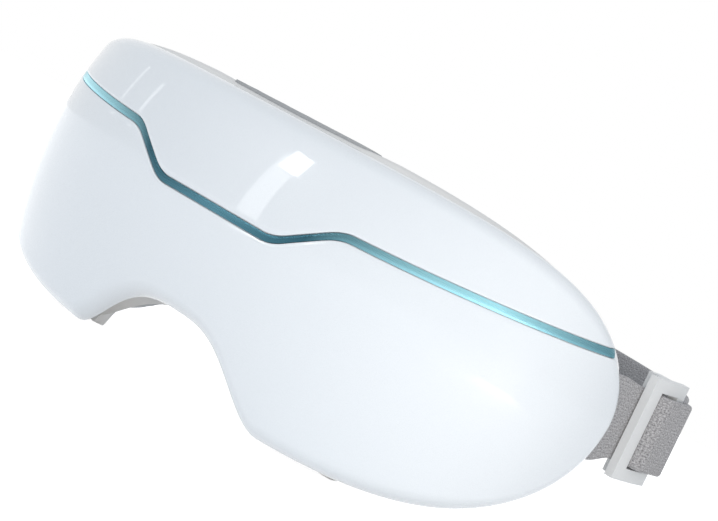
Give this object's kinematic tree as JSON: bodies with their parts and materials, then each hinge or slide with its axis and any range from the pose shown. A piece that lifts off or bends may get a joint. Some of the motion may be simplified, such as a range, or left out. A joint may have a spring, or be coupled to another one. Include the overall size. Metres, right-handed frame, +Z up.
{
  "type": "heated eye massager",
  "caption": "Goggle-shaped eye massager with a curved glossy visor, inlaid strip, face cushion, warm air-pressure pads, top controls and an elastic head strap.",
  "frame": {"origin": "on the surface that the part stands on, under the middle of the part's bounding box", "axes": "+Z up as worn, +X to the right in a front view, -Y out of the visor's front and +Y towards the wearer"},
  "size_m": [0.2222, 0.1198, 0.0804],
  "materials": {
    "visor": "glossy cool white",
    "strip": "teal metallic",
    "housing": "matte white",
    "plate": "light grey",
    "rim": "light grey satin",
    "cushion": "grey soft foam cover",
    "panel": "grey",
    "button": "light grey",
    "light": "clear",
    "board": "green circuit board",
    "metal": "satin",
    "battery": "blue wrap",
    "inner_plastic": "plain",
    "valve": "black",
    "air_rubber": "translucent grey",
    "heater": "amber film",
    "silicone": "soft grey",
    "strap": "heathered grey elastic",
    "slider": "white"
  },
  "bodies": {
    "housing": {"front_shell": "visor", "accent_strip": "strip", "rear_housing": "housing", "back_plate": "plate", "cushion_frame": "rim", "face_cushion": "cushion", "control_panel": "panel", "indicator_light": "light", "button_board": "board", "usb_port": "metal", "main_board": "board", "battery_pack": "battery", "pump_motor": "metal", "pump_head": "inner_plastic", "valve_body": "valve", "air_hose": "air_rubber", "left_airbag": "air_rubber", "right_airbag": "air_rubber", "left_heater": "heater", "right_heater": "heater", "left_vibration_motor": "metal", "right_vibration_motor": "metal", "left_anchor": "inner_plastic", "right_anchor": "inner_plastic", "strap_band": "strap", "screws": "metal"},
    "power_button": {"power_button": "button"},
    "mode_button": {"mode_button": "button"},
    "heat_button": {"heat_button": "button"},
    "pump_rotor": {"pump_rotor": "metal"},
    "valve_plunger": {"valve_plunger": "metal"},
    "left_pad": {"left_eye_pad": "silicone"},
    "right_pad": {"right_eye_pad": "silicone"},
    "left_weight": {"left_weight": "metal"},
    "right_weight": {"right_weight": "metal"},
    "left_slider": {"left_slider": "slider", "left_strap_fold": "strap"},
    "right_slider": {"right_slider": "slider", "right_strap_fold": "strap"}
  },
  "joints": [
    {"name": "power_press", "type": "slide", "parent": "housing", "child": "power_button", "axis": [0, 0, -1], "range_m": [0, 0.0007], "stiffness_N_per_m": 800},
    {"name": "mode_press", "type": "slide", "parent": "housing", "child": "mode_button", "axis": [0, 0, -1], "range_m": [0, 0.0007], "stiffness_N_per_m": 800},
    {"name": "heat_press", "type": "slide", "parent": "housing", "child": "heat_button", "axis": [0, 0, -1], "range_m": [0, 0.0007], "stiffness_N_per_m": 800},
    {"name": "right_pad_push", "type": "slide", "parent": "housing", "child": "right_pad", "axis": [-0.309, 0.9511, 0], "range_m": [0, 0.004], "stiffness_N_per_m": 120},
    {"name": "left_pad_push", "type": "slide", "parent": "housing", "child": "left_pad", "axis": [0.309, 0.9511, 0], "range_m": [0, 0.004], "stiffness_N_per_m": 120},
    {"name": "pump_spin", "type": "hinge", "parent": "housing", "child": "pump_rotor", "pos_m": [0.07141, -0.03207, 0.03], "axis": [0, 0, 1], "continuous": true},
    {"name": "valve_slide", "type": "slide", "parent": "housing", "child": "valve_plunger", "axis": [0, 0, 1], "range_m": [0, 0.0015], "stiffness_N_per_m": 200},
    {"name": "right_weight_spin", "type": "hinge", "parent": "housing", "child": "right_weight", "pos_m": [0.04895, -0.03669, 0.017], "axis": [0.9272, 0.3746, 0], "continuous": true},
    {"name": "left_weight_spin", "type": "hinge", "parent": "housing", "child": "left_weight", "pos_m": [-0.04895, -0.03669, 0.017], "axis": [0.9272, -0.3746, 0], "continuous": true},
    {"name": "right_slider_slide", "type": "slide", "parent": "housing", "child": "right_slider", "axis": [0, 0.9936, 0.1132], "range_m": [-0.004, 0.005]},
    {"name": "left_slider_slide", "type": "slide", "parent": "housing", "child": "left_slider", "axis": [0, 0.9936, 0.1132], "range_m": [-0.004, 0.005]}
  ]
}
